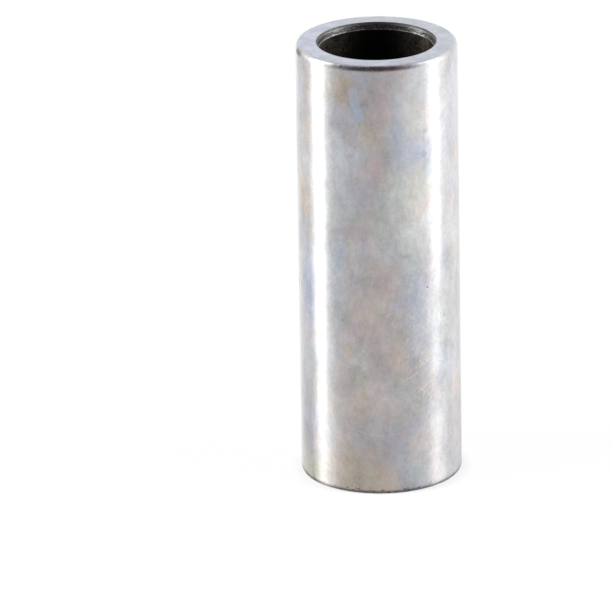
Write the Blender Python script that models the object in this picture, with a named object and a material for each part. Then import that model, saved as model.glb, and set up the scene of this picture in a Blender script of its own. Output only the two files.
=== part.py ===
# Gudgeon pin: the hollow steel pin that joins a piston to its connecting rod.
# It is turned from one piece, case hardened, and ground on its outside and its end faces.
# It stands on one end face with +Z along its axis. The origin is on the axis, in the plane of the foot.
# Lengths are in metres and angles are in degrees.

import math

import bmesh
import bpy

# Overall sizes
pin_diameter = 0.0200
pin_length = 0.0560
wall_thickness = 0.00295

# Rounding where the ground outside turns over into each end face
outer_edge_radius = 0.00065

# Mouth at each end: a small chamfer, a trued land below it, and the shoulder where the raw bore starts
mouth_chamfer_width = 0.00022
mouth_chamfer_depth = 0.00030
land_taper = 0.00003
land_depth = 0.00050
shoulder_width = 0.00010
shoulder_depth = 0.00006

# Facets
facets_around = 96
outer_edge_facets = 8
sharp_edge_angle = 20.0

# Surface
steel_colour = (0.62, 0.61, 0.60, 1.0)
steel_roughness = 0.22

# Radii of the section, from the outside inwards
pin_radius = pin_diameter / 2
bore_radius = pin_radius - wall_thickness
land_foot_radius = bore_radius + shoulder_width
land_top_radius = land_foot_radius + land_taper
mouth_radius = land_top_radius + mouth_chamfer_width


def clear_scene():
    """Leaves an empty scene behind."""
    for old_object in list(bpy.data.objects):
        bpy.data.objects.remove(old_object, do_unlink=True)


def make_steel():
    """Bare ground steel."""
    steel = bpy.data.materials.new("ground_steel")
    steel.use_nodes = True
    steel.diffuse_color = steel_colour
    surface = steel.node_tree.nodes["Principled BSDF"]
    surface.inputs["Base Color"].default_value = steel_colour
    surface.inputs["Metallic"].default_value = 1.0
    surface.inputs["Roughness"].default_value = steel_roughness
    return steel


def outer_edge():
    """Points (radius, depth below the end face) of the quarter round, from the outside to the end face."""
    centre = pin_radius - outer_edge_radius
    points = []
    for step in range(outer_edge_facets + 1):
        turn = math.radians(90.0) * step / outer_edge_facets
        radius = centre + outer_edge_radius * math.cos(turn)
        depth = outer_edge_radius * (1.0 - math.sin(turn))
        points.append((radius, depth))
    return points


def mouth():
    """Points (radius, depth below the end face) of one mouth, from the end face down to the bore."""
    chamfer_foot = mouth_chamfer_depth
    land_foot = chamfer_foot + land_depth
    shoulder_foot = land_foot + shoulder_depth
    return [
        (mouth_radius, 0.0),
        (land_top_radius, chamfer_foot),
        (land_foot_radius, land_foot),
        (bore_radius, shoulder_foot),
    ]


def pin_section():
    """The closed half section as (radius, height). Both ends are alike.

    It goes over the head from the outside to the bore, and back over the foot from the bore to the outside."""
    end = outer_edge() + mouth()
    head = [(radius, pin_length - depth) for radius, depth in end]
    foot = [(radius, depth) for radius, depth in reversed(end)]
    return head + foot


def turn_about_axis(name, section):
    """A closed mesh: the half section is spun once round the Z axis and joined up."""
    turned = bmesh.new()
    corners = [turned.verts.new((radius, 0.0, height)) for radius, height in section]
    sides = [turned.edges.new((corners[i - 1], corners[i])) for i in range(len(corners))]
    bmesh.ops.spin(
        turned,
        geom=corners + sides,
        cent=(0.0, 0.0, 0.0),
        axis=(0.0, 0.0, 1.0),
        angle=math.tau,
        steps=facets_around,
        use_merge=True,
    )
    bmesh.ops.recalc_face_normals(turned, faces=turned.faces)
    mesh = bpy.data.meshes.new(name)
    turned.to_mesh(mesh)
    turned.free()
    mesh.shade_smooth()
    mesh.set_sharp_from_angle(angle=math.radians(sharp_edge_angle))
    return mesh


def make_pin():
    """The pin, the one piece of this part."""
    mesh = turn_about_axis("gudgeon_pin", pin_section())
    mesh.materials.append(make_steel())
    pin = bpy.data.objects.new("gudgeon_pin", mesh)
    bpy.context.scene.collection.objects.link(pin)
    return pin


clear_scene()
make_pin()
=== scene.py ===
# Looks of a gudgeon pin: ground steel outside, satin end faces, turned mouths and a raw bore.
# Lengths are in metres unless a note says millimetres, and angles are in degrees.
# A bearing is an angle round the pin: 0 towards the camera, growing to the camera's right.

import math

import bpy
import numpy as np
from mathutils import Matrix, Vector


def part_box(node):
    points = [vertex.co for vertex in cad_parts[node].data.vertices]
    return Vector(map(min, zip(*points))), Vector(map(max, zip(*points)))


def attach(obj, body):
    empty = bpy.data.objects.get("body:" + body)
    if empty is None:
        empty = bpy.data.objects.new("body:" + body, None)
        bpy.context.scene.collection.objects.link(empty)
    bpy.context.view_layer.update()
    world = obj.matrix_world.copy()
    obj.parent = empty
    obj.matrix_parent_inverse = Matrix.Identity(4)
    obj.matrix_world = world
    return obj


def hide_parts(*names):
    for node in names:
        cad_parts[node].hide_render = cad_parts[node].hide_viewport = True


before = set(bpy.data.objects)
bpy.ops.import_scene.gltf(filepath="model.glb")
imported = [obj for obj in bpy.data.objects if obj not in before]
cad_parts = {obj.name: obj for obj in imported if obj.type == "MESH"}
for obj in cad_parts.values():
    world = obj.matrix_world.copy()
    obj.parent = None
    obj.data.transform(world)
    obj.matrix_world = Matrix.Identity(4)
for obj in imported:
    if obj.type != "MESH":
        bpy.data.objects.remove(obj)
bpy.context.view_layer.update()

print("frame loaded:", sorted(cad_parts))


# The pin's section and the fineness of its surface
pinForm = {
    "node": "gudgeon_pin",
    "slot": "ground_steel",
    "wall": 0.00295,  # from the outside to the bore
    "edgeRound": 0.00046,  # across the end face, at its edge to the outside
    "edgeRunOut": 1.65,  # it reaches this many times as far along the pin
    "chamferAcross": 0.00022,
    "chamferDown": 0.00030,
    "landTaper": 0.00003,  # the trued land narrows by this much on the radius
    "landDown": 0.00050,
    "shoulderAcross": 0.00010,  # where the raw bore starts
    "shoulderDown": 0.00006,
    "mouthRound": 0.00010,  # between the end face and the chamfer
    "edgeBreak": 0.00004,  # radius of the small turned edges
    "columns": 540,  # around the pin
    "seed": 20,
}

# Steps along each stretch of the section and on each rounded corner
sectionSteps = {
    "outside": 40,
    "endFace": 10,
    "chamfer": 5,
    "land": 14,
    "shoulder": 3,
    "bore": 30,
    "outerRound": 12,
    "mouthRound": 4,
    "smallRound": 3,
    "innerCorner": 2,
}

finishes = ["groundSteel", "endFace", "turnedMouth", "rawBore"]

# The share of the unwrapped height that a length of each finish gets
unwrapWeight = {"groundSteel": 1.0, "endFace": 1.5, "turnedMouth": 2.0, "rawBore": 0.35}


def cornerArc(before, corner, after, radius, steps):
    # A rounded corner: the arc's two radii to the tangent points are blended by equal turns
    toBefore = (before - corner) / np.linalg.norm(before - corner)
    toAfter = (after - corner) / np.linalg.norm(after - corner)
    halfAngle = math.acos(float(toBefore @ toAfter)) / 2
    middle = (toBefore + toAfter) / np.linalg.norm(toBefore + toAfter)
    centre = corner + middle * radius / math.sin(halfAngle)
    first = corner + toBefore * radius / math.tan(halfAngle) - centre
    last = corner + toAfter * radius / math.tan(halfAngle) - centre
    swept = math.pi - 2 * halfAngle
    share = np.linspace(0, 1, steps + 1)[:, None]
    return centre + (np.sin((1 - share) * swept) * first + np.sin(share * swept) * last) / math.sin(swept)


def gatheredLine(start, end, steps):
    # A straight stretch without its two ends, its points closer together near both of them
    share = (1 - np.cos(np.pi * np.arange(1, steps) / steps)) / 2
    return start + (end - start) * share[:, None]


def pinSection(radius, length):
    # The closed half section as radius and height: over the head, down the bore, over the foot and up
    # the outside
    form = pinForm
    bore = radius - form["wall"]
    landFoot = bore + form["shoulderAcross"]
    landTop = landFoot + form["landTaper"]
    mouth = landTop + form["chamferAcross"]
    landTopDepth = form["chamferDown"]
    landFootDepth = landTopDepth + form["landDown"]
    boreDepth = landFootDepth + form["shoulderDown"]
    small = form["edgeBreak"]
    # Each corner of the head: radius, depth, rounding, its steps and finish, then the next stretch and
    # that stretch's finish
    head = [
        (radius, 0.0, form["edgeRound"], "outerRound", "groundSteel", "endFace", "endFace"),
        (mouth, 0.0, form["mouthRound"], "mouthRound", "turnedMouth", "chamfer", "turnedMouth"),
        (landTop, landTopDepth, small, "innerCorner", "turnedMouth", "land", "turnedMouth"),
        (landFoot, landFootDepth, small / 2, "innerCorner", "turnedMouth", "shoulder", "turnedMouth"),
        (bore, boreDepth, small, "smallRound", "turnedMouth", "bore", "rawBore"),
    ]
    corners = [(r, length - depth, *rest) for r, depth, *rest in head]
    for place in reversed(range(len(head))):
        stretch = head[place - 1][5:] if place else ("outside", "groundSteel")
        corners.append((*head[place][:5], *stretch))
    arcs = []
    for place, corner in enumerate(corners):
        around = (corners[place - 1], corner, corners[(place + 1) % len(corners)])
        where = [np.array(end[:2]) for end in around]
        arc = cornerArc(*where, corner[2], sectionSteps[corner[3]])
        if corner[3] == "outerRound":
            arc[:, 1] = corner[1] + (arc[:, 1] - corner[1]) * form["edgeRunOut"]
        arcs.append(arc)
    points, labels = [], []
    for place, arc in enumerate(arcs):
        *_, finish, stretch, stretchFinish = corners[place]
        following = arcs[(place + 1) % len(arcs)]
        line = gatheredLine(arc[-1], following[0], sectionSteps[stretch])
        points += [arc, line]
        labels += [finish] * (len(arc) - 1) + [stretchFinish] * (len(line) + 1)
    return np.concatenate(points), np.array([finishes.index(name) for name in labels])


def sectionNormals(section):
    # Across each point's two neighbours: the way along the section turned a quarter to the outside
    along = np.roll(section, -1, 0) - np.roll(section, 1, 0)
    outward = np.stack([along[:, 1], -along[:, 0]], 1)
    return outward / np.linalg.norm(outward, axis=1)[:, None]


def wavesRound(bearing, seed, lowest, highest):
    # Uneven by a sum of cosines with whole numbers of waves round the pin, so it has no seam
    random = np.random.default_rng(seed)
    waves = np.arange(lowest, highest + 1)
    strength = random.normal(size=len(waves))
    phase = random.uniform(0, 2 * np.pi, len(waves))
    total = (strength[:, None] * np.cos(waves[:, None] * bearing[None, :] + phase[:, None])).sum(0)
    return total / np.sqrt((strength**2).sum())


# Small dents in the edges. A placed one: bearing, end (1 head, 0 foot), width and depth in millimetres
edgeDents = {
    "placed": [(-77, 1, 0.60, 0.10), (-60, 1, 0.30, 0.04), (-17, 0, 0.25, 0.05), (22, 0, 0.30, 0.06)],
    "others": 26,
    "widths": (0.15, 0.45),
    "depths": (0.015, 0.05),
    "longer": 1.2,  # across the edge than along it
}


def dentDepth(bearing, section, radius, length):
    # Each dent is a bell in both directions, centred on the middle of an outer round
    random = np.random.default_rng(pinForm["seed"] + 1)
    dents = list(edgeDents["placed"])
    for _ in range(edgeDents["others"]):
        angle = random.uniform(-180, 180)
        width = random.uniform(*edgeDents["widths"])
        dents.append((angle, int(random.integers(0, 2)), width, random.uniform(*edgeDents["depths"])))
    depth = np.zeros((len(section), len(bearing)))
    inset = pinForm["edgeRound"] * (1 - math.cos(math.radians(45)))
    for angle, end, width, deep in dents:
        centre = np.array([radius - inset, length - inset if end else inset])
        away = np.linalg.norm(section - centre, axis=1)[:, None]
        around = radius * np.abs(np.angle(np.exp(1j * (bearing - math.radians(angle)))))[None, :]
        reach = width / 2 / 1000
        depth += deep / 1000 * np.exp(-((away / reach / edgeDents["longer"]) ** 2) - (around / reach) ** 2)
    return depth


# Marks of making, in metres. Waves are counted round the pin, from the fewest to the most
madeMarks = {
    "edgeWaver": 0.000008,  # the outer rounds give way inwards where the waves fall below edgeCrest
    "edgeCrest": 1.2,
    "edgeWaves": (3, 60),
    "turningPitch": 0.00017,  # of the fine thread that turning left on the lands
    "turningDepth": 0.000003,
    "turningWaves": (1, 9),
    "turningDrift": 3,  # the thread wanders by this many radians times the waves
    "tornDepth": 0.000005,
    "landMargin": 0.00002,  # the marks reach this much further out than the land
    "drawnDepth": 0.000012,  # of the lines that run along the raw bore
    "drawnWaves": (2, 90),
}


def unevenness(bearing, section, finish, radius, length):
    # How far each point moves along its normal: edge dents and slow waves inwards, a fine thread and
    # random tearing on the lands, and lines along the bore
    form, marks = pinForm, madeMarks
    heights = section[:, 1][:, None]
    moved = -dentDepth(bearing, section, radius, length)
    middle = radius - form["edgeRound"] / 2
    onRound = np.exp(-(((section[:, 0] - middle) / (form["edgeRound"] / 2)) ** 2) * 2)
    onRound = (onRound * (finish == finishes.index("groundSteel")))[:, None]
    wavering = wavesRound(bearing, form["seed"] + 2, *marks["edgeWaves"]) - marks["edgeCrest"]
    wavering = wavering * marks["edgeWaver"]
    moved = moved + onRound * np.minimum(wavering, 0)[None, :]
    landTop = radius - form["wall"] + form["shoulderAcross"] + form["landTaper"]
    onLand = (finish == finishes.index("turnedMouth")) & (section[:, 0] < landTop + marks["landMargin"])
    depthIn = np.minimum(heights, length - heights)
    drift = marks["turningDrift"] * wavesRound(bearing, form["seed"] + 3, *marks["turningWaves"])
    thread = np.sin(2 * np.pi * depthIn / marks["turningPitch"] + drift[None, :])
    rough = np.random.default_rng(form["seed"] + 4).normal(size=(len(section), len(bearing)))
    rough = (rough + np.roll(rough, 1, 1) + np.roll(rough, -1, 1)) / 3
    moved = moved + onLand[:, None] * (thread * marks["turningDepth"] + rough * marks["tornDepth"])
    onBore = (finish == finishes.index("rawBore"))[:, None]
    drawn = wavesRound(bearing, form["seed"] + 5, *marks["drawnWaves"])[None, :] * marks["drawnDepth"]
    return moved + onBore * drawn


def turnedSurface(name, section, finish, radius, length):
    # Point of row i and column j: the section's point i, moved along its normal, at bearing j about the axis
    columns = pinForm["columns"]
    bearing = np.arange(columns) * 2 * np.pi / columns - np.pi
    normals = sectionNormals(section)
    moved = unevenness(bearing, section, finish, radius, length)
    out = section[:, 0][:, None] + normals[:, 0][:, None] * moved
    up = section[:, 1][:, None] + normals[:, 1][:, None] * moved
    places = np.stack([out * np.sin(bearing), -out * np.cos(bearing), up], -1).reshape(-1, 3)
    rows = len(section)
    row, column = np.meshgrid(np.arange(rows), np.arange(columns), indexing="ij")
    nextRow, nextColumn = (row + 1) % rows, (column + 1) % columns
    corners = [(row, column), (row, nextColumn), (nextRow, nextColumn), (nextRow, column)]
    quads = np.stack([r * columns + c for r, c in corners], -1).reshape(-1, 4)
    mesh = bpy.data.meshes.new(name)
    mesh.vertices.add(len(places))
    mesh.vertices.foreach_set("co", places.astype(np.float32).ravel())
    mesh.loops.add(quads.size)
    mesh.loops.foreach_set("vertex_index", quads.astype(np.int32).ravel())
    mesh.polygons.add(len(quads))
    mesh.polygons.foreach_set("loop_start", np.arange(len(quads), dtype=np.int32) * 4)
    mesh.polygons.foreach_set("material_index", np.repeat(finish, columns).astype(np.int32))
    mesh.update(calc_edges=True)
    mesh.shade_smooth()
    unwrap(mesh, section, finish, columns)
    piece = bpy.data.objects.new(name, mesh)
    bpy.context.scene.collection.objects.link(piece)
    return piece


def unwrap(mesh, section, finish, columns):
    # Across: the share of the turn. Up: the weighted length along the section, starting in the middle
    # of the bore
    rows = len(section)
    steps = np.linalg.norm(np.roll(section, -1, 0) - section, axis=1)
    steps *= np.array([unwrapWeight[finishes[f]] for f in finish])
    along = np.concatenate([[0], np.cumsum(steps)])
    inBore = np.nonzero(finish == finishes.index("rawBore"))[0]
    start = inBore[len(inBore) // 2]
    low = (along[:rows] - along[start]) % along[-1]
    low[start] = 0
    high = low + steps
    row = np.repeat(np.arange(rows), columns)
    column = np.tile(np.arange(columns), rows)
    left, right = column / columns, (column + 1) / columns
    bottom, top = low[row] / along[-1], high[row] / along[-1]
    corners = np.stack([left, bottom, right, bottom, right, top, left, top], 1)
    layer = mesh.uv_layers.new(name="OFBake")
    margin = 0.005
    layer.uv.foreach_set("vector", (margin + (1 - 2 * margin) * corners).astype(np.float32).ravel())


pinRadius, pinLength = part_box(pinForm["node"])[1][0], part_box(pinForm["node"])[1][2]
section, sectionFinish = pinSection(pinRadius, pinLength)
pin = turnedSurface("pin", section, sectionFinish, pinRadius, pinLength)
print("pin surface:", len(pin.data.polygons) * 2, "triangles,", len(section), "rows")


# A noise pattern is a tuple: how fine per millimetre, detail, roughness, and its stretch along x, y and z
evenly = (1, 1, 1)


class Wire:
    # A socket of a shader node. Arithmetic on it adds Math nodes
    def __init__(self, sheet, socket):
        self.sheet = sheet
        self.socket = socket

    def __add__(self, other):
        return self.sheet.maths("ADD", self, other)

    def __radd__(self, other):
        return self.sheet.maths("ADD", other, self)

    def __sub__(self, other):
        return self.sheet.maths("SUBTRACT", self, other)

    def __rsub__(self, other):
        return self.sheet.maths("SUBTRACT", other, self)

    def __mul__(self, other):
        return self.sheet.maths("MULTIPLY", self, other)

    def __rmul__(self, other):
        return self.sheet.maths("MULTIPLY", other, self)

    def __truediv__(self, other):
        return self.sheet.maths("DIVIDE", self, other)


class Sheet:
    # The nodes of one material or of the world, emptied at first
    def __init__(self, owner):
        owner.use_nodes = True
        self.tree = owner.node_tree
        self.tree.nodes.clear()

    def node(self, kind, settings, values, output=0):
        # Any node: its type, its settings, which are set first, and the values or wires of its sockets
        made = self.tree.nodes.new("ShaderNode" + kind)
        for name, value in settings.items():
            if name == "stops":
                self.setStops(made.color_ramp, value)
            else:
                setattr(made, name, value)
        for name, value in values.items():
            if isinstance(value, Wire):
                self.tree.links.new(value.socket, made.inputs[name])
            else:
                made.inputs[name].default_value = value
        return Wire(self, made.outputs[output]) if len(made.outputs) else None

    def setStops(self, ramp, stops):
        # Each stop: its place from 0 to 1, and its colour
        while len(ramp.elements) < len(stops):
            ramp.elements.new(1.0)
        for element, (place, colour) in zip(ramp.elements, stops):
            element.position = place
            element.color = colour

    def maths(self, operation, first, second=0.0):
        # The operation on one or two numbers or wires
        return self.node("Math", {"operation": operation}, {0: first, 1: second})

    def vector(self, operation, first, second):
        # The operation on x, y and z, each by itself
        return self.node("VectorMath", {"operation": operation}, {0: first, 1: second})

    def scaled(self, colour, factor):
        # Red, green and blue, each times the factor
        return self.node("VectorMath", {"operation": "SCALE"}, {0: colour, "Scale": factor})

    def length(self, vector):
        # The root of the sum of the squares of x, y and z
        return self.node("VectorMath", {"operation": "LENGTH"}, {0: vector}, "Value")

    def step(self, value, start, end):
        # 0 on the side of start, 1 on the side of end, eased between them
        settings = {"interpolation_type": "SMOOTHSTEP"}
        return self.node("MapRange", settings, {"Value": value, "From Min": start, "From Max": end})

    def mix(self, share, first, second, blend="MIX"):
        # The first colour where the share is 0, the second where it is 1
        settings = {"data_type": "RGBA", "blend_type": blend}
        return self.node("Mix", settings, {0: share, 6: first, 7: second}, 2)

    def ramp(self, value, stops):
        # The colour at this value, blended in a straight line between the stops on its two sides
        return self.node("ValToRGB", {"stops": stops}, {"Fac": value})

    def millimetres(self):
        # The place on the piece, in its own coordinates times 1000
        place = self.node("TexCoord", {}, {}, "Object")
        return self.vector("MULTIPLY", place, (1000, 1000, 1000))

    def noise(self, place, pattern, output=0):
        # Values about 0.5. A stretch over 1 along an axis makes the pattern longer that way
        perMillimetre, detail, roughness, stretch = pattern
        if stretch != evenly:
            place = self.vector("DIVIDE", place, stretch)
        values = {"Vector": place, "Scale": perMillimetre, "Detail": detail, "Roughness": roughness}
        return self.node("TexNoise", {}, values, output)

    def bump(self, height, distance):
        # A relief: the height times a distance in metres
        return self.node("Bump", {}, {"Strength": 1.0, "Distance": distance, "Height": height})

    def bearing(self, place):
        # Degrees round the pin's axis from the camera's side, growing to the right
        split = self.node("SeparateXYZ", {}, {0: place})
        x, y = split, Wire(self, split.socket.node.outputs[1])
        return self.node("Math", {"operation": "ARCTAN2"}, {0: x, 1: 0 - y}) * (180 / math.pi)

    def part(self, place, axis):
        # x, y or z of the place, for axis 0, 1 or 2
        split = self.node("SeparateXYZ", {}, {0: place})
        return Wire(self, split.socket.node.outputs[axis])

    def fromAxis(self, place):
        # The length of the place without its height
        return self.length(self.vector("MULTIPLY", place, (1, 1, 0)))


def grey(value):
    # Red, green and blue alike, and opaque
    return (value, value, value, 1.0)


def depthInside(sheet, place):
    # Millimetres from the nearer end face
    height = sheet.part(place, 2)
    return sheet.maths("MINIMUM", height, pinLength * 1000 - height)


def steelShader(sheet, values):
    # One metal shader, its sockets as given, into the material's output
    shader = sheet.node("BsdfPrincipled", {}, {"Metallic": 1.0, **values})
    sheet.node("OutputMaterial", {}, {"Surface": shader})


def unroll(sheet, place):
    # Millimetres round the outside from bearing 0, and height. It is cut at the back
    arc = sheet.bearing(place) * (math.pi / 180 * pinRadius * 1000)
    return sheet.node("CombineXYZ", {}, {0: arc, 1: sheet.part(place, 2)})


def spot(sheet, unrolled, bearing, height, across, up, core=0.35):
    # An ellipse on the unrolled outside, given by its half sizes: 0 outside it, 1 in its core, which is
    # this share of it
    centre = (math.radians(bearing) * pinRadius * 1000, height, 0)
    away = sheet.vector("DIVIDE", sheet.vector("SUBTRACT", unrolled, centre), (across, up, 1000))
    return sheet.step(sheet.length(away), 1.0, core)


# The ground outside. A tint is a ratio to the plain steel's red, green and blue
groundLook = {
    "steel": (0.60, 0.592, 0.590),
    "roughness": 0.21,
    "anisotropy": 0.8,
    "quarterTurn": 0.25,  # the ground lines run round the pin, so the blur runs along it
    "tints": {
        "plain": (1.00, 1.00, 1.00),
        "tan": (0.98, 0.86, 0.77),
        "gold": (1.12, 0.99, 0.86),
        "orange": (1.18, 0.98, 0.86),
        "pink": (1.10, 0.95, 0.96),
        "rose": (1.07, 0.99, 0.98),
        "mauve": (0.93, 0.90, 0.94),
        "lavender": (0.97, 0.98, 1.09),
        "blue": (0.86, 0.96, 1.17),
        "sky": (0.98, 1.06, 1.26),
        "cool": (0.97, 1.00, 1.05),
        "slate": (0.81, 0.87, 0.97),
        "teal": (0.93, 1.03, 1.06),
        "green": (0.96, 1.02, 0.97),
        "straw": (1.10, 1.13, 1.11),
        "bright": (1.18, 1.19, 1.18),
        "cream": (1.10, 1.06, 0.93),
        "pale": (1.06, 1.13, 1.17),
    },
    # The film's own colours from thin to thick, by value of a slow noise
    "film": [
        (0.26, "gold"), (0.34, "orange"), (0.41, "pink"), (0.48, "plain"), (0.54, "lavender"),
        (0.62, "blue"), (0.69, "teal"), (0.76, "green"),
    ],
    "filmStrength": 0.46,
    "thickness": (0.28, 4.0, 0.7, (1, 1, 1.4)),  # noise pattern of the film's thickness
    "shaking": (0.5, 4.0, 0.65, evenly),  # noise that moves the edges of the tinted areas
    "shaken": (5.0, 7.0, 0.0),  # by these millimetres across and up
    "areaCore": 0.2,  # an area is at its full strength up to this share of its half sizes
    "patches": (0.9, 4.0, 0.8, (1, 1, 1.8)),  # noise that makes the areas' strength uneven
    "leastPatchy": 0.3,
    "patchiness": 1.5,
    "mottled": (0.20, 5.6, 0.86, (1, 1, 1.5)),  # noise of the brightness, at every size
    "mottling": 1.30,
    "blotched": (0.17, 5.0, 0.85, (1, 1, 1.2)),  # noise of each colour by itself
    "blotching": 0.30,
    "highlightFlanks": [(-41, 13, 5), (52, 11, 4)],  # painted highlight: weaker colours where the bright stripes are reflected; bearing, degrees to where it ends and is full
    "highlightWashout": 0.45,
    "worn": (26, 19, 4.2, 13),  # more scratches here: bearing, height, half sizes in millimetres
    "scratched": (0.80, 0.79, 0.77, 1.0),
    "fineScratches": 0.12,  # share of that colour in the fine ones
    "wornScratches": 0.16,  # and how much more where it is worn
    "drawnScratches": 0.4,  # share in the single ones
    "leastDrawn": 0.5,  # strength of the short single ones where the areas are weak
    "moreDrawn": 0.9,  # and how much more where they are strong
    "drawnBetween": (0.75, 1.15),  # strengths of the areas between which that comes in
    # colour of the dark marks and specks, and of the painted shade of the nicks on the head's edge
    "pitted": (0.10, 0.09, 0.08, 1.0),
    "markCore": 0.1,  # a dark mark is full up to this share of its half sizes
    "specks": (2.6, 1.0, 0.5, evenly),  # noise of the small dark specks at the foot
    "speckEdge": (0.56, 0.66),  # values of it between which a nick comes in
    "speckled": (1.1, 0.3),  # millimetres of height between which they come in
    "speckStrength": 0.7,
    "peel": (1.6, 2.0, 0.5, (1, 1, 1.6)),  # noise of the slight waviness that grinding leaves
    "relief": 0.0000022,  # metres that 1 of the relief is high
    "depth": {"dark": 3.0, "scratched": 0.16, "drawn": 0.5},  # of the marks, in the same measure
    "rougher": {"peel": 0.10, "scratched": 0.03, "dark": 0.3},  # what each adds to the roughness
    "edge": (1.06, 0.92, 0.98, 1.0),  # ratio on the head's outer round, at the camera
    "edgeAt": (4, 0.2, 4.5, 0.9),  # its middle's bearing and depth, and its half sizes in millimetres
    "edgeCore": 0.4,
    "towardsFace": (0.525, 0.55, 0.615, 1.0),  # where the outer rounds run into the end faces
    "roundOver": (0.15, 0.5),  # millimetres in from the outside between which that comes in
}

# Larger tinted areas: bearing, height, half sizes across and up in millimetres, tint, strength
tintedAreas = [
    (-6, 46, 3.6, 10, "rose", 0.5),
    (-4, 21, 5.0, 14, "rose", 1.2),
    (-33, 40, 2.2, 15, "cool", 0.6),
    (26, 48, 3.4, 8, "cool", 0.6),
    (29, 24, 3.4, 9, "cool", 0.6),
    (-26, 52.8, 2.8, 2.7, "tan", 1.1),
    (-31, 48.9, 2.0, 3.0, "slate", 0.5),
    (-24, 49.0, 1.4, 3.4, "mauve", 0.7),
    (2, 52.6, 3.4, 3.2, "mauve", 0.6),
    (-15.5, 50.2, 1.6, 3.8, "sky", 1.2),
    (3.5, 51.5, 1.3, 4.2, "pink", 0.8),
    (-4, 47.0, 2.6, 2.4, "orange", 0.6),
    (0, 42.4, 2.2, 3.4, "pink", 0.8),
    (15, 46.5, 2.0, 8.5, "blue", 0.6),
    (34, 45.5, 1.6, 3.4, "pale", 0.6),
    (27, 48.6, 2.4, 5.0, "green", 0.7),
    (31, 44.4, 2.4, 2.2, "blue", 0.7),
    (-25, 43.8, 4.0, 4.6, "pale", 1.1),
    (-24, 15.5, 3.6, 5.0, "pale", 0.4),
    (-22, 14.0, 3.0, 13.0, "rose", 1.0),
    (-25, 39.8, 2.4, 2.8, "teal", 0.5),
    (-8, 38.8, 3.6, 2.4, "pale", 0.6),
    (12, 33.8, 3.2, 4.2, "pale", 0.9),
    (12, 38.0, 3.7, 6.2, "straw", 1.0),
    (26, 33.8, 3.6, 4.6, "straw", 0.6),
    (5, 47.0, 1.4, 2.6, "bright", 0.7),
    (-20.5, 46.6, 1.6, 2.4, "mauve", 1.0),
    (32, 51.6, 1.8, 2.6, "slate", 0.35),
    (31, 39.4, 2.0, 2.2, "green", 0.8),
    (8, 37.2, 1.6, 4.2, "bright", 0.8),
    (23, 29.3, 1.4, 2.2, "bright", 0.5),
    (-14, 17.6, 3.0, 2.8, "bright", 0.4),
    (-15, 38.6, 4.2, 4.0, "lavender", 0.55),
    (-9, 36.8, 2.4, 2.0, "pink", 0.4),
    (27, 52.8, 3.4, 3.2, "cool", 0.9),
    (12, 54.0, 2.6, 2.0, "mauve", 0.9),
    (-14, 33.8, 3.6, 2.4, "pink", 0.6),
    (-33, 30.8, 1.6, 4.4, "blue", 0.7),
    (6, 28.2, 3.4, 3.4, "pink", 0.6),
    (25, 25.6, 3.0, 6.4, "blue", 0.6),
    (-8, 23.6, 2.8, 4.0, "gold", 0.5),
    (-23, 24.0, 1.0, 6.5, "pink", 0.6),
    (-24, 19.0, 1.1, 1.9, "orange", 0.8),
    (12, 18.2, 1.7, 4.0, "orange", 0.7),
    (-14, 13.0, 1.5, 3.6, "gold", 0.7),
    (38, 3.4, 2.4, 2.4, "mauve", 0.6),
    (57, 10.5, 1.2, 5.5, "mauve", 0.6),
    (50, 22.0, 2.2, 19.0, "cool", 0.7),
    (-50, 1.0, 6.0, 4.4, "cream", 1.2),
    (-26, 1.0, 4.6, 4.6, "gold", 1.2),
    (-6, 2.0, 4.5, 3.6, "gold", 1.1),
    (-26, 4.4, 3.8, 3.6, "orange", 0.7),
    (-70, 49.0, 2.2, 2.0, "green", 0.8),
    (-68, 37.6, 2.0, 4.4, "gold", 0.8),
    (-63, 26.0, 2.4, 8.0, "blue", 0.9),
    (-65, 13.0, 2.6, 11.0, "cool", 1.2),
    (-63, 10.5, 2.0, 4.6, "lavender", 0.4),
    (62, 48.0, 4.0, 8.5, "lavender", 0.7),
    (70, 22.0, 3.2, 14.0, "plain", 0.8),
    (52, 29.5, 1.6, 4.4, "blue", 0.5),
    (50, 16.0, 1.8, 4.4, "blue", 0.5),
]

# Small dark marks: bearing, height, half sizes across and up in millimetres, strength. The last two, on the
# head's outer round, are painted shade of nicks in that edge
darkMarks = [
    (35.8, 26.6, 0.22, 0.22, 0.8),
    (52.5, 22.2, 0.20, 0.42, 0.5),
    (-28.0, 22.7, 0.18, 0.24, 0.5),
    (-82.9, 25.3, 0.24, 0.60, 0.9),
    (18.5, 31.1, 0.90, 0.40, 0.14),
    (35.0, 47.0, 0.60, 0.50, 0.2),
    (35.0, 44.0, 0.50, 0.60, 0.2),
    (-75.0, 55.5, 1.75, 0.62, 0.8),
    (-26.5, 55.72, 0.34, 0.26, 0.9),
]

# Families of fine scratches: tilt in degrees, length and width of one in millimetres, the value of
# noise above which there is one, and the bearings that it covers
scratchFamilies = [
    (52, 3.0, 0.15, 0.665, (10, 70)),
    (30, 2.2, 0.16, 0.675, (-60, 60)),
    (-38, 2.6, 0.15, 0.690, (-180, 180)),
    (84, 5.0, 0.13, 0.690, (-180, 180)),
]

# How the fine ones come in: over this much of the noise, over these degrees on both sides of the end of
# a family's bearings, and between these bearings by the back, where the unrolled surface is cut
scratchFade = {"noise": 0.06, "degrees": 10, "back": (178, 174)}
familyShift = 17.0  # millimetres between the places of the noise that two families read

# A single scratch fades in between these millimetres from its line and these shares of its half length
scratchWidth = (0.11, 0.03)
scratchEnds = (1.0, 0.6)

# The longest one sags: bearings in degrees, the rest in millimetres
saggingScratch = {
    "lowest": (2, 7.8),  # bearing and height of its lowest place
    "rise": 1.3,
    "spread": 30,  # degrees on either side in which it rises by that much
    "leftEnd": (-29, -25),
    "rightEnd": (20, 15),
    "width": (0.13, 0.03),
    "breaks": (0.16, 1.0, 0.5, evenly),  # per degree, not per millimetre
    "breakEdge": (0.36, 0.56),  # values of it between which the scratch comes in
}

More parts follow.
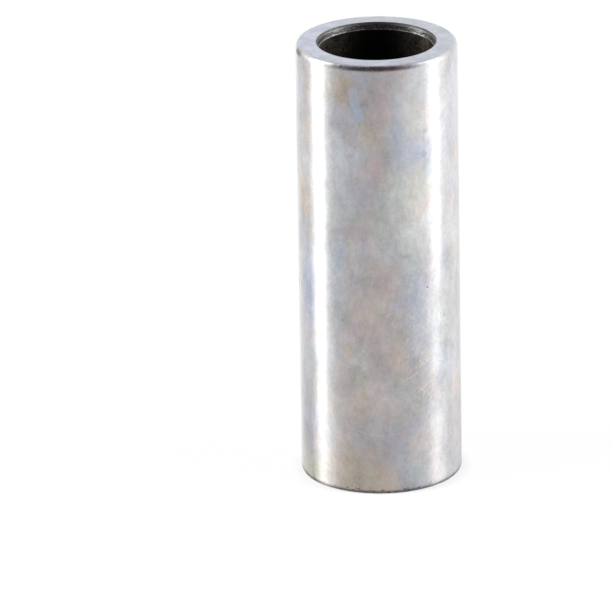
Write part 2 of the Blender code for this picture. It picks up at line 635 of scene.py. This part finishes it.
# Single light scratches: bearing, height, tilt, half length, and how far it has bent 1 mm from its middle
placedScratches = [
    (-13.5, 18.6, 62, 0.70, 0.10),
    (-15.5, 17.2, -58, 0.55, 0.15),
    (-12.5, 16.6, 28, 0.60, -0.10),
    (6.0, 23.6, 48, 0.80, -0.55),
    (9.5, 22.2, -35, 0.60, -0.45),
    (23.0, 22.8, 66, 0.60, 0.05),
    (-25.0, 16.8, -22, 0.65, 0.20),
    (21.0, 15.2, 24, 1.60, 0.03),
    (33.0, 16.8, 31, 1.30, 0.05),
    (31.0, 13.2, -48, 0.60, 0.20),
    (2.0, 12.6, 18, 0.70, -0.15),
    (-19.0, 31.4, 58, 0.50, 0.10),
]


def tinted(tint):
    # Plain steel times the tint's ratios
    return tuple(s * t for s, t in zip(groundLook["steel"], groundLook["tints"][tint])) + (1.0,)


def scratches(sheet, unrolled, bearing):
    # Noise drawn out along one direction of the unrolled surface, cut off near its peaks. Each family
    # reads another place of the noise, and fades at the ends of its bearings
    fade, total = scratchFade["degrees"], 0.0
    for place, (tilt, long, wide, cut, (start, end)) in enumerate(scratchFamilies):
        turned = sheet.node("Mapping", {"vector_type": "TEXTURE"}, {
            "Vector": unrolled,
            "Location": (familyShift * place, 5.0, 0.0),
            "Rotation": (0.0, 0.0, math.radians(tilt)),
            "Scale": (long, wide, 1.0),
        })
        flat = {"noise_dimensions": "2D"}
        lines = sheet.node("TexNoise", flat, {"Vector": turned, "Scale": 1.0, "Detail": 0.0})
        covered = sheet.step(bearing, start - fade, start + fade)
        covered = covered * sheet.step(bearing, end + fade, end - fade)
        total = total + sheet.step(lines, cut, cut + scratchFade["noise"]) * covered
    return total * sheet.step(sheet.maths("ABSOLUTE", bearing), *scratchFade["back"])


def longScratch(sheet, bearing, height):
    # A parabola over the bearing, thin across, broken up along its length
    form = saggingScratch
    lowestBearing, lowestHeight = form["lowest"]
    sag = (bearing - lowestBearing) / form["spread"]
    away = sheet.maths("ABSOLUTE", height - lowestHeight - form["rise"] * sag * sag)
    ends = sheet.step(bearing, *form["leftEnd"]) * sheet.step(bearing, *form["rightEnd"])
    broken = sheet.noise(sheet.node("CombineXYZ", {}, {0: bearing}), form["breaks"])
    return sheet.step(away, *form["width"]) * ends * sheet.step(broken, *form["breakEdge"])


def placedScratch(sheet, unrolled, bearing, height, tilt, half, bend):
    # A thin light line: in its own turned frame, the distance from a parabola, faded at both ends
    own = sheet.node("Mapping", {"vector_type": "TEXTURE"}, {
        "Vector": unrolled,
        "Location": (math.radians(bearing) * pinRadius * 1000, height, 0.0),
        "Rotation": (0.0, 0.0, math.radians(tilt)),
    })
    along, across = sheet.part(own, 0), sheet.part(own, 1)
    away = sheet.maths("ABSOLUTE", across - bend * along * along)
    ends = sheet.step(sheet.maths("ABSOLUTE", along), *[share * half for share in scratchEnds])
    return sheet.step(away, *scratchWidth) * ends


def groundSteel(name):
    # Tint: film colour by slow noise, then the larger areas, their edges moved about by noise
    look = groundLook
    material = bpy.data.materials.new(name)
    sheet = Sheet(material)
    place = sheet.millimetres()
    bearing, height, unrolled = sheet.bearing(place), sheet.part(place, 2), unroll(sheet, place)
    film = [(at, tinted(tint)) for at, tint in look["film"]]
    film = sheet.ramp(sheet.noise(place, look["thickness"]), film)
    colour = sheet.mix(look["filmStrength"], tinted("plain"), film)
    shaking = sheet.vector("SUBTRACT", sheet.noise(place, look["shaking"], 1), (0.5, 0.5, 0.5))
    shaken = sheet.vector("ADD", unrolled, sheet.vector("MULTIPLY", shaking, look["shaken"]))
    patchy = look["leastPatchy"] + look["patchiness"] * sheet.noise(place, look["patches"])
    for areaBearing, areaHeight, across, up, tint, strength in tintedAreas:
        share = spot(sheet, shaken, areaBearing, areaHeight, across, up, look["areaCore"])
        colour = sheet.mix(share * strength * patchy, colour, tinted(tint))

    # Mottling of the brightness and of each colour by itself, longer along the pin
    colour = sheet.scaled(colour, 1 + look["mottling"] * (sheet.noise(place, look["mottled"]) - 0.5))
    lowest = 1 - look["blotching"] / 2
    blotched = sheet.scaled(sheet.noise(place, look["blotched"], 1), look["blotching"])
    colour = sheet.vector("MULTIPLY", colour, sheet.vector("ADD", blotched, (lowest, lowest, lowest)))
    # Painted highlight: the colours wash out where the bright stripes are reflected
    fade = 0.0
    for centre, reach, full in look["highlightFlanks"]:
        fade = fade + sheet.step(sheet.maths("ABSOLUTE", bearing - centre), reach, full)
    saturation = 1 - look["highlightWashout"] * fade
    colour = sheet.node("HueSaturation", {}, {"Saturation": saturation, "Color": colour})

    # Scratches are lighter; dark marks and specks are darker, and on the head's edge that darkness is
    # painted shade of nicks
    scratched = scratches(sheet, unrolled, bearing)
    single = 0.0
    for scratch in placedScratches:
        single = single + placedScratch(sheet, unrolled, *scratch)
    uneven = look["leastDrawn"] + look["moreDrawn"] * sheet.step(patchy, *look["drawnBetween"])
    drawn = longScratch(sheet, bearing, height) + single * uneven
    fine = scratched * (look["fineScratches"] + look["wornScratches"] * spot(sheet, unrolled, *look["worn"]))
    light = sheet.maths("MINIMUM", fine + drawn * look["drawnScratches"], 1.0)
    colour = sheet.mix(light, colour, look["scratched"])
    dark = 0.0
    for markBearing, markHeight, across, up, strength in darkMarks:
        dark = dark + spot(sheet, unrolled, markBearing, markHeight, across, up, look["markCore"]) * strength
    specks = sheet.step(sheet.noise(place, look["specks"]), *look["speckEdge"])
    dark = dark + specks * sheet.step(height, *look["speckled"]) * look["speckStrength"]
    colour = sheet.mix(sheet.maths("MINIMUM", dark, 1.0), colour, look["pitted"])

    # The head's outer round is purplish. Both rounds take the end face's colour towards the face
    edgeBearing, edgeDepth, across, up = look["edgeAt"]
    edgeHeight = pinLength * 1000 - edgeDepth
    atHead = spot(sheet, unrolled, edgeBearing, edgeHeight, across, up, look["edgeCore"])
    colour = sheet.mix(atHead, colour, look["edge"], "MULTIPLY")
    inwards = pinRadius * 1000 - sheet.fromAxis(place)
    colour = sheet.mix(sheet.step(inwards, *look["roundOver"]), colour, look["towardsFace"])

    peel = sheet.noise(place, look["peel"])
    depth, rougher = look["depth"], look["rougher"]
    relief = peel - dark * depth["dark"] - scratched * depth["scratched"] - drawn * depth["drawn"]
    roughness = look["roughness"] + rougher["peel"] * (peel - 0.5) + rougher["scratched"] * scratched
    steelShader(sheet, {
        "Base Color": colour,
        "Roughness": roughness + rougher["dark"] * dark,
        "Anisotropic": look["anisotropy"],
        "Anisotropic Rotation": look["quarterTurn"],
        "Normal": sheet.bump(relief, look["relief"]),
    })
    return material


faceLook = {
    "steel": (0.482, 0.505, 0.564, 1.0),
    "light": (0.575, 0.589, 0.643, 1.0),
    "left": (1.02, 1.03, 1.08, 1.0),  # painted light: ratio to the rest, lighter and bluer over the left side
    "near": (0.90, 0.925, 0.94, 1.0),  # painted shade: ratio to the rest, darker over the side at the camera
    "roughness": 0.42,
    "metallic": 0.72,  # the ground grain scatters a part of the light all ways
    "leftLightAcross": (2, -9),  # millimetres to the right between which the painted light on the left comes in
    "nearAcross": (-4, -10),  # millimetres away from the camera, for the painted shade on the near side
    "cloud": (0.7, 3.0, 0.5, evenly),
    "grain": (4.5, 2.0, 0.5, evenly),
    "lines": (1.0, 1.0, 0.5, (2.5, 0.09, 1.0)),
    "mottled": (0.5, 4.0, 0.9, evenly),
    "cloudShare": 0.55,  # the light steel follows the cloud by this share, and the grain by the rest
    "lightEdge": (0.44, 0.62),  # values of that sum between which it comes in
    "brightness": (0.92, 0.09, 0.9),  # by itself, and what the lines and the mottling add
    "rougher": 0.12,  # what the cloud adds to the roughness
    "lineHeight": 0.6,  # where the grain's is 1
    "relief": 0.000004,
}


def endFace(name):
    # Fine ground: a soft grain and pale flecks, lines of grinding straight across. Painted light over the
    # left side, painted shade over the side at the camera
    material = bpy.data.materials.new(name)
    sheet = Sheet(material)
    place = sheet.millimetres()
    patterns = ("cloud", "grain", "lines", "mottled")
    cloud, grain, lines, mottled = [sheet.noise(place, faceLook[pattern]) for pattern in patterns]
    cloudShare = faceLook["cloudShare"]
    pale = sheet.step(cloudShare * cloud + (1 - cloudShare) * grain, *faceLook["lightEdge"])
    colour = sheet.mix(pale, faceLook["steel"], faceLook["light"])
    plain, lined, mottling = faceLook["brightness"]
    colour = sheet.scaled(colour, plain + lined * lines + mottling * (mottled - 0.5))
    # Painted light over the left side, and painted shade over the side at the camera
    leftLight = sheet.step(sheet.part(place, 0), *faceLook["leftLightAcross"])
    colour = sheet.mix(leftLight, colour, faceLook["left"], "MULTIPLY")
    nearer = sheet.step(sheet.part(place, 1), *faceLook["nearAcross"])
    colour = sheet.mix(nearer, colour, faceLook["near"], "MULTIPLY")
    steelShader(sheet, {
        "Base Color": colour,
        "Metallic": faceLook["metallic"],
        "Roughness": faceLook["roughness"] + faceLook["rougher"] * (cloud - 0.5),
        "Normal": sheet.bump(grain + faceLook["lineHeight"] * lines, faceLook["relief"]),
    })
    return material


mouthLook = {
    "steel": (0.33, 0.32, 0.335, 1.0),
    # colour of the flecks, whose brightness is painted glints
    "bright": (0.92, 0.91, 0.90, 1.0),
    # the chamfer's colour, nearly black: painted shade
    "chamfer": (0.075, 0.073, 0.075),
    "roughness": 0.28,
    "torn": (3.2, 2.5, 0.65, (1, 1, 0.7)),
    "glintFleckEdge": (0.44, 0.66),  # values of it between which a bright fleck, a painted glint, comes in
    "level": 0.65,  # brightness off the land
    "glintPatches": [(132, 16), (-132, 28)],  # painted highlights on the land: bearing, and degrees to where it ends
    "glintPatchCore": 2,  # degrees from that bearing to where it is full
    "glintPatchFlecks": 0.09,  # added there to the noise
    "landIn": (0.03, 0.12),  # millimetres below the chamfer between which the land comes in
    "landOut": 0.06,  # and above the land's foot where it starts to go
    "landLightLevels": (0.8, 0.35),  # painted light: what the land adds to the brightness, and what its painted highlights add
    "sides": (128, 110),  # the shoulder gets painted shade and the chamfer painted light between these, on both sides
    "sideShadeAndLight": (0.3, 0.35),  # by these: the painted shade and the painted light
    "back": (130, 165),  # the land and the shoulder get painted shade and the chamfer painted light between these
    "backShadeAndLight": (0.42, 1.0),  # by these: the painted shade and the painted light
    "chamferWaver": 0.3,  # millimetres by which the noise moves the chamfer's lower edge
    "chamferSoft": 0.08,  # millimetres over which the chamfer comes in
    "chamferShare": 0.95,
    "chamferGlints": 0.15,  # how much less where there is a fleck's painted glint
    "relief": 0.00008,
}


def turnedMouth(name):
    # Torn turning: bright flecks on dull metal, the flecks painted glints, and a rough relief. The land is
    # painted brighter than what lies above and below it, most of all in two painted highlights. The chamfer
    # is painted dark, as painted shade, and lighter at the back and the sides as painted light; at the back
    # all else gets painted shade, and at the sides the shoulder
    look = mouthLook
    material = bpy.data.materials.new(name)
    sheet = Sheet(material)
    place = sheet.millimetres()
    bearing = sheet.bearing(place)
    torn = sheet.noise(place, look["torn"])
    # Two painted highlights on the land
    glintPatches = 0.0
    for centre, reach in look["glintPatches"]:
        away = sheet.maths("ABSOLUTE", bearing - centre)
        glintPatches = glintPatches + sheet.step(away, reach, look["glintPatchCore"])
    glintFlecks = sheet.step(torn + look["glintPatchFlecks"] * glintPatches, *look["glintFleckEdge"])
    colour = sheet.mix(glintFlecks, look["steel"], look["bright"])
    # Painted shade and painted light by bearing, at the back and at the sides
    turn = sheet.maths("ABSOLUTE", bearing)
    back, side = sheet.step(turn, *look["back"]), sheet.step(turn, *look["sides"])
    depth = depthInside(sheet, place)
    landTop = pinForm["chamferDown"] * 1000
    landFoot = landTop + pinForm["landDown"] * 1000
    onLand = sheet.step(depth, *[landTop + below for below in look["landIn"]])
    onLand = onLand * sheet.step(depth, landFoot, landFoot - look["landOut"])
    landLight, glintPatchLevel = look["landLightLevels"]
    sideShade, sideLight = look["sideShadeAndLight"]
    backShade, backLight = look["backShadeAndLight"]
    level = look["level"] - sideShade * side * (1 - onLand)
    level = level + onLand * (landLight + glintPatchLevel * glintPatches)
    colour = sheet.scaled(colour, level * (1 - backShade * back))
    chamferFoot = (pinRadius - pinForm["wall"] + pinForm["shoulderAcross"] + pinForm["landTaper"]) * 1000
    outwards = sheet.fromAxis(place) + look["chamferWaver"] * (torn - 0.5)
    onChamfer = sheet.step(outwards, chamferFoot, chamferFoot + look["chamferSoft"])
    # The chamfer painted dark, with painted light at the back and the sides
    chamfer = sheet.scaled(look["chamfer"], 1 + backLight * back + sideLight * side)
    share = onChamfer * (look["chamferShare"] - look["chamferGlints"] * glintFlecks)
    colour = sheet.mix(share, colour, chamfer)
    bump = sheet.bump(torn, look["relief"])
    steelShader(sheet, {"Base Color": colour, "Roughness": look["roughness"], "Normal": bump})
    return material


boreLook = {
    "dark": (0.0012, 0.0011, 0.0010, 1.0),
    # colours of the painted light at the two sides, with a brown tinge
    "brownSheen": (0.080, 0.075, 0.062, 1.0),
    "rustySheen": (0.094, 0.075, 0.057, 1.0),
    "roughness": 0.6,
    "specular": 0.06,
    "sides": (82, 12),  # degrees from the pin's two sides between which the brown, painted light with a brown tinge, comes in
    "fading": (1.0, 6.0),  # millimetres from the nearer end face between which it fades, as painted shade deeper in
    "fade": 0.7,
    "cloud": (0.9, 4.0, 0.7, (1, 2.6, 1)),
    "grain": (4.0, 2.0, 0.7, (1, 2.6, 1)),
    "brownEdge": (0.30, 0.66),  # values of the two noises' mean between which the brown comes in
    "rustEdge": (0.45, 0.6),  # values of the cloud between which it turns to the rustier colour
    "relief": 0.00003,
}


def rawBore(name):
    # Nearly black, with a mottled brown at the two sides: painted light with a brown tinge, fading into
    # painted shade deeper in
    material = bpy.data.materials.new(name)
    sheet = Sheet(material)
    place = sheet.millimetres()
    cloud, grain = sheet.noise(place, boreLook["cloud"]), sheet.noise(place, boreLook["grain"])
    # Painted light at the two sides, fading into painted shade deeper in
    away = sheet.maths("ABSOLUTE", sheet.maths("ABSOLUTE", sheet.bearing(place)) - 90)
    deeperShade = boreLook["fade"] * sheet.step(depthInside(sheet, place), *boreLook["fading"])
    brownSheen = sheet.step(0.5 * cloud + 0.5 * grain, *boreLook["brownEdge"])
    brownSheen = brownSheen * sheet.step(away, *boreLook["sides"]) * (1 - deeperShade)
    sheenColour = sheet.mix(sheet.step(cloud, *boreLook["rustEdge"]), boreLook["brownSheen"], boreLook["rustySheen"])
    colour = sheet.mix(brownSheen, boreLook["dark"], sheenColour)
    steelShader(sheet, {
        "Base Color": colour,
        "Metallic": 0.0,
        "Roughness": boreLook["roughness"],
        "Specular IOR Level": boreLook["specular"],
        "Normal": sheet.bump(grain, boreLook["relief"]),
    })
    return material


for finishName, makeFinish in zip(finishes, (groundSteel, endFace, turnedMouth, rawBore)):
    pin.data.materials.append(makeFinish(finishName))
print("finishes made:", finishes)

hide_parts(pinForm["node"])
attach(pin, "root")


# The camera looks down on the pin from the front through a long lens
cameraSetup = {
    "aim": (-0.00928, 0.0, 0.02155),
    "distance": 1.2555,
    "elevation": 20.03,
    "roll": -0.91,
    "fieldOfView": 3.4577,
    "near": 0.1,
    "far": 20.0,
}


def placed(thing, right, up, back, place):
    # The thing's own x, y and z axes point right, up and back
    matrix = np.eye(4)
    matrix[:3, :3] = np.stack([right, up, back], 1)
    matrix[:3, 3] = place
    bpy.context.scene.collection.objects.link(thing)
    thing.matrix_world = matrix.T.tolist()


def makeCamera():
    # It looks back at the aim from the distance, at the elevation, and is turned by the roll about its view
    setup = cameraSetup
    elevation, roll = math.radians(setup["elevation"]), math.radians(setup["roll"])
    back = np.array([0.0, -math.cos(elevation), math.sin(elevation)])
    level = np.array([1.0, 0.0, 0.0])
    upright = np.cross(back, level)
    right = math.cos(roll) * level + math.sin(roll) * upright
    up = math.cos(roll) * upright - math.sin(roll) * level
    lens = bpy.data.cameras.new("camera")
    lens.angle = math.radians(setup["fieldOfView"])
    lens.clip_start = setup["near"]
    lens.clip_end = setup["far"]
    camera = bpy.data.objects.new("camera", lens)
    placed(camera, right, up, back, np.array(setup["aim"]) + setup["distance"] * back)
    bpy.context.scene.camera = camera


makeCamera()
print("camera placed")


# The studio: a white floor and a white surround
studio = {
    "floorHalf": 1.5,
    "floorShade": 0.04,  # how much of the floor's own light and shadow the camera sees
    "floorPaint": 0.9,
    "nearShade": 0.35,  # how much more of its light and shadow is seen round the foot
    "nearReach": (0.0116, 0.0101),  # distances from the axis between which that comes in
    "diffuseLevel": 0.45,  # of the surround, for all that isn't seen or mirrored
    "surroundRadius": 0.6,
    "overhead": (0.36, 0.57),  # heights between which the surround's upper levels take over
    "contactShadow": (0.0098, 0.0110),  # painted contact shadow: the floor is dark in reflections up to here, and full from there
    # the painted contact shadow's brightness at its darkest
    "contactShadowLevel": 0.3,
    # Distances from the axis between which each of the floor's further levels takes over
    "floorLayers": [("floorNear", 0.022, 0.050), ("floorFar", 0.075, 0.105), ("floorTop", 0.140, 0.156)],
    "mirrorSteps": 6,
}

# Brightness of what the pin reflects: bearing and level, where 1 is white
reflected = {
    # Floor at the foot, which shows in the lowest 5 mm of the pin
    "floorFoot": [
        (-180, 1.07), (-160, 1.02), (-150, 0.86), (-140, 0.75), (-120, 0.72), (-114, 0.79), (-108, 1.02),
        (-102, 1.40), (-96, 1.65), (-90, 1.60), (-84, 1.30), (-80, 1.10), (-70, 0.76), (-60, 0.69),
        (-40, 0.62), (0, 0.60), (20, 0.625), (40, 0.675), (60, 0.84), (70, 0.945), (84, 1.42),
        (90, 1.41), (100, 1.15), (110, 0.985), (120, 0.90), (132, 0.97), (150, 0.87), (160, 0.85),
        (180, 0.85),
    ],
    # Floor that shows up to the middle
    "floorNear": [
        (-180, 1.09), (-160, 1.06), (-150, 0.96), (-140, 0.885), (-130, 0.84), (-120, 0.84), (-114, 0.89),
        (-108, 1.15), (-102, 1.65), (-96, 2.4), (-90, 2.1), (-84, 1.28), (-80, 1.02), (-72, 0.77),
        (-60, 0.69), (-50, 0.66), (-40, 0.70), (0, 0.705), (30, 0.68), (40, 0.71), (50, 0.80),
        (60, 0.86), (70, 0.935), (80, 1.26), (84, 1.42), (90, 1.34), (100, 1.12), (110, 1.06),
        (120, 1.05), (132, 1.19), (150, 0.98), (180, 0.92),
    ],
    # Floor that shows above the middle
    "floorFar": [
        (-180, 1.06), (-160, 1.04), (-150, 0.94), (-135, 0.88), (-120, 0.91), (-114, 0.94), (-108, 1.38),
        (-102, 2.2), (-96, 2.9), (-90, 2.7), (-84, 1.78), (-78, 1.18), (-70, 0.90), (-60, 0.90), (-45, 0.83),
        (-25, 0.71), (0, 0.69), (10, 0.73), (20, 0.82), (30, 0.90), (50, 1.03), (70, 1.12), (78, 1.43),
        (84, 2.0), (90, 2.3), (96, 1.9), (102, 1.38), (110, 1.28), (120, 1.15), (140, 1.17), (160, 1.01),
        (180, 0.97),
    ],
    # Floor that shows near the head
    "floorTop": [
        (-180, 1.25), (-160, 1.18), (-150, 0.94), (-140, 0.87), (-120, 0.84), (-114, 0.91), (-108, 1.35),
        (-102, 2.2), (-96, 2.9), (-90, 2.8), (-84, 1.8), (-80, 1.2), (-72, 0.75), (-60, 0.64), (-50, 0.60),
        (-30, 0.62), (-20, 0.57), (0, 0.56), (20, 0.61), (30, 0.76), (50, 0.99), (70, 1.12), (78, 1.42),
        (84, 2.0), (90, 2.3), (96, 1.9), (102, 1.35), (110, 1.24), (120, 1.14), (140, 1.21), (160, 1.07),
        (180, 1.02),
    ],
    # Surround up to mid height
    "low": [
        (-180, 1.0), (-125, 1.0), (-110, 1.6), (-100, 2.5), (-84, 2.3), (-76, 1.0), (-66, 0.5), (-56, 0.29),
        (-46, 0.16), (-36, 0.07), (0, 0.04), (30, 0.08), (45, 0.24), (56, 0.55), (66, 0.9), (76, 1.5),
        (86, 2.4), (98, 2.2), (108, 1.5), (120, 1.2), (180, 1.0),
    ],
    # Surround overhead
    "high": [
        (-180, 0.5), (-120, 0.7), (-90, 0.8), (-60, 0.3), (-30, 0.10), (0, 0.06), (30, 0.10), (60, 0.35),
        (90, 0.7), (120, 0.7), (180, 0.5),
    ],
}
mostReflected = 3.0  # the levels are divided by this, so that a ramp's colours stay below 1


def stageMesh(name, places, quads, material):
    # A piece of the studio from its corners and four-sided faces
    mesh = bpy.data.meshes.new(name)
    mesh.from_pydata(places, [], quads)
    mesh.materials.append(material)
    made = bpy.data.objects.new(name, mesh)
    bpy.context.scene.collection.objects.link(made)
    return made


def mirroredBearing(sheet, bearing, distance):
    # The way that a ray goes from the wall to this point of the floor: bearing + arcsin(radius / distance
    # * sin(half of that way)), worked out by starting from the bearing and putting the result in again
    near = sheet.maths("MINIMUM", sheet.maths("DIVIDE", pinRadius, distance), 1.0)
    start = bearing * (math.pi / 180)
    way = start
    for _ in range(studio["mirrorSteps"]):
        way = start + sheet.maths("ARCSINE", near * sheet.maths("SINE", way * 0.5))
    return sheet.maths("MAXIMUM", sheet.maths("MINIMUM", way, math.pi), -math.pi) * (180 / math.pi)


def bearingGlow(name, lowest, layers, measure, contactShadow=None):
    # Brightness by bearing. Each layer's own ramp takes over as the measure, a distance from the axis or
    # a height, goes from its start to its end
    material = bpy.data.materials.new(name)
    sheet = Sheet(material)
    place = sheet.node("TexCoord", {}, {}, "Object")
    flat = sheet.fromAxis(place)
    measured = flat if measure == "distance" else sheet.part(place, 2)
    turn = sheet.bearing(place)
    if measure == "distance":
        turn = mirroredBearing(sheet, turn, flat)
    turn = turn / 360 + 0.5
    colour = None
    for stops, start, end in [(lowest, 0.0, 0.0), *layers]:
        levels = [(angle / 360 + 0.5, grey(value / mostReflected)) for angle, value in reflected[stops]]
        level = sheet.ramp(turn, levels)
        colour = sheet.mix(sheet.step(measured, start, end), colour, level) if colour else level
    strength = mostReflected
    # A painted contact shadow in reflections: darker near the axis, round the foot
    if contactShadow:
        least = studio["contactShadowLevel"]
        strength = strength * (least + (1 - least) * sheet.step(flat, *contactShadow))
    glow = sheet.node("Emission", {}, {"Color": colour, "Strength": strength})
    sheet.node("OutputMaterial", {}, {"Surface": glow})
    return material


def turnedSheet(name, distances, heights, material):
    # Rows of given distance and height, all the way round the axis, seen only in reflections
    turn = np.radians(np.arange(0, 360, 5))
    rows, columns = len(distances), len(turn)
    out, up = np.array(distances)[:, None], np.array(heights)[:, None] + 0 * turn[None, :]
    places = np.stack([out * np.cos(turn), out * np.sin(turn), up], -1).reshape(-1, 3)
    row, column = np.meshgrid(np.arange(rows - 1), np.arange(columns), indexing="ij")
    following = (column + 1) % columns
    corners = [(row, column), (row, following), (row + 1, following), (row + 1, column)]
    quads = np.stack([r * columns + c for r, c in corners], -1).reshape(-1, 4)
    made = stageMesh(name, places.tolist(), quads.tolist(), material)
    made.visible_camera = False
    made.visible_diffuse = False
    made.visible_transmission = False
    made.visible_volume_scatter = False
    made.visible_shadow = False


def makeSurround():
    # A flat sheet just above the floor, with a painted contact shadow round the foot, and a dome over it
    radius = studio["surroundRadius"]
    floorGlow = bearingGlow("floorGlow", "floorFoot", studio["floorLayers"], "distance", studio["contactShadow"])
    turnedSheet("floorSheen", [0.006, 0.03, 0.1, radius], [0.00003] * 4, floorGlow)
    climb = np.radians(np.linspace(0, 89.9, 19))
    skyGlow = bearingGlow("surroundGlow", "low", [("high", *studio["overhead"])], "height")
    turnedSheet("surroundSheen", radius * np.cos(climb), radius * np.sin(climb), skyGlow)


def seenOrMirrored(sheet):
    # 1 for rays from the camera, from glossy surfaces and through clear ones
    cameraRay = sheet.node("LightPath", {}, {}, "Is Camera Ray")
    glossyRay = sheet.node("LightPath", {}, {}, "Is Glossy Ray")
    clearRay = sheet.node("LightPath", {}, {}, "Is Transmission Ray")
    return sheet.maths("MAXIMUM", sheet.maths("MAXIMUM", cameraRay, glossyRay), clearRay)


def makeFloor():
    # Pure white to the camera and in reflections, but for its share of paint that takes light and shadow
    half = studio["floorHalf"]
    corners = [(-half, -half, 0.0), (half, -half, 0.0), (half, half, 0.0), (-half, half, 0.0)]
    material = bpy.data.materials.new("floorWhite")
    sheet = Sheet(material)
    paint = sheet.node("BsdfDiffuse", {}, {"Color": grey(studio["floorPaint"])})
    white = sheet.node("Emission", {}, {"Color": grey(1.0), "Strength": 1.0})
    flat = sheet.length(sheet.node("TexCoord", {}, {}, "Object"))
    shade = studio["floorShade"] + studio["nearShade"] * sheet.step(flat, *studio["nearReach"])
    share = seenOrMirrored(sheet) * (1 - shade)
    surface = sheet.node("MixShader", {}, {0: share, 1: paint, 2: white})
    sheet.node("OutputMaterial", {}, {"Surface": surface})
    stageMesh("floor", corners, [(0, 1, 2, 3)], material)


def makeWorld():
    # White where it is seen or mirrored, and at the diffuse level for all else
    world = bpy.data.worlds.new("surround")
    bpy.context.scene.world = world
    sheet = Sheet(world)
    level = studio["diffuseLevel"] + seenOrMirrored(sheet) * (1 - studio["diffuseLevel"])
    light = sheet.node("Background", {}, {"Color": grey(1.0), "Strength": level})
    sheet.node("OutputWorld", {}, {"Surface": light})


# Soft lamps for what isn't mirrored: place, size, power in watts
lamps = {
    "leftLamp": ((-0.45, -0.10, 0.42), 0.3, 3.2),
    "rightLamp": ((0.45, -0.10, 0.42), 0.3, 2.6),
}


def makeLamp(name, place, size, power):
    # An area lamp turned to the pin, left out of reflections
    lamp = bpy.data.lights.new(name, "AREA")
    lamp.shape = "SQUARE"
    lamp.size = size
    lamp.energy = power
    back = np.array(place) / np.linalg.norm(place)
    level = np.cross([0.0, 0.0, 1.0], back)
    level /= np.linalg.norm(level)
    holder = bpy.data.objects.new(name, lamp)
    placed(holder, level, np.cross(back, level), back, place)
    holder.visible_glossy = False


makeFloor()
makeSurround()
makeWorld()
for lampName, (lampPlace, lampSize, lampPower) in lamps.items():
    makeLamp(lampName, lampPlace, lampSize, lampPower)
bpy.context.scene.view_settings.view_transform = "Standard"
print("studio set")
